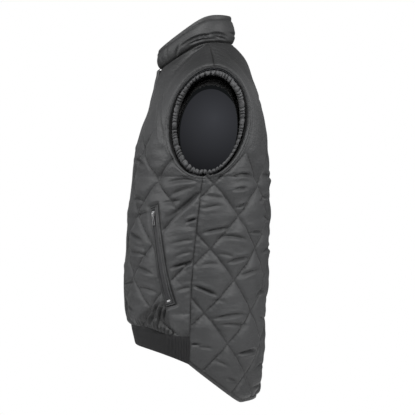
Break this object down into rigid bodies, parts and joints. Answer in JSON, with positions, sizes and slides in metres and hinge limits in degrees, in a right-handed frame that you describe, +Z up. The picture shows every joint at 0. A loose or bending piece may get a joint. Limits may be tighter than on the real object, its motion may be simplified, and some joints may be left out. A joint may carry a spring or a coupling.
{
  "type": "thermal vest",
  "caption": "Padded thermal vest with diamond quilting, stand collar, gathered armholes, slanted zip pockets, rib-knit front hem and a long rounded drop tail, hollow as worn.",
  "frame": {"origin": "middle of the neck base, where the wearer's shoulders hold the vest", "axes": "+Z up, the front towards -Y, the wearer's left towards +X"},
  "size_m": [0.4218, 0.3215, 0.8383],
  "materials": {
    "shell": "charcoal quilted nylon with a soft sheen",
    "rib": "matt rib knit",
    "lining": "plain woven lining",
    "tape": "woven zip tape with moulded teeth",
    "metal": "bright plated",
    "tab": "dark coated"
  },
  "bodies": {
    "vest": {"front_left": "shell", "front_right": "shell", "back": "shell", "collar": "shell", "storm_flap": "shell", "pocket_welt_left": "shell", "pocket_welt_right": "shell", "armhole_ring_left": "shell", "armhole_ring_right": "shell", "tail_binding": "shell", "rib_left": "rib", "rib_right": "rib", "lining_front_left": "lining", "lining_front_right": "lining", "lining_back": "lining", "front_zip": "tape", "pocket_zip_left": "tape", "pocket_zip_right": "tape", "front_slider": "metal", "pocket_slider_left": "metal", "pocket_slider_right": "metal", "pocket_stop_left": "metal", "pocket_stop_right": "metal"},
    "tab_left": {"pocket_tab_left": "tab"},
    "tab_right": {"pocket_tab_right": "tab"},
    "tab_front": {"front_tab": "tab"}
  },
  "joints": [
    {"name": "tab_left_hinge", "type": "hinge", "parent": "vest", "child": "tab_left", "pos_m": [0.16967, -0.1, -0.3664], "axis": [-0.6996, -0.6819, -0.2135], "range_deg": [0, 160]},
    {"name": "tab_right_hinge", "type": "hinge", "parent": "vest", "child": "tab_right", "pos_m": [-0.16967, -0.1, -0.3664], "axis": [-0.6996, 0.6819, 0.2135], "range_deg": [0, 160]},
    {"name": "tab_front_hinge", "type": "hinge", "parent": "vest", "child": "tab_front", "pos_m": [0, -0.09173, -0.0186], "axis": [-1, 0, 0], "range_deg": [0, 160]}
  ]
}
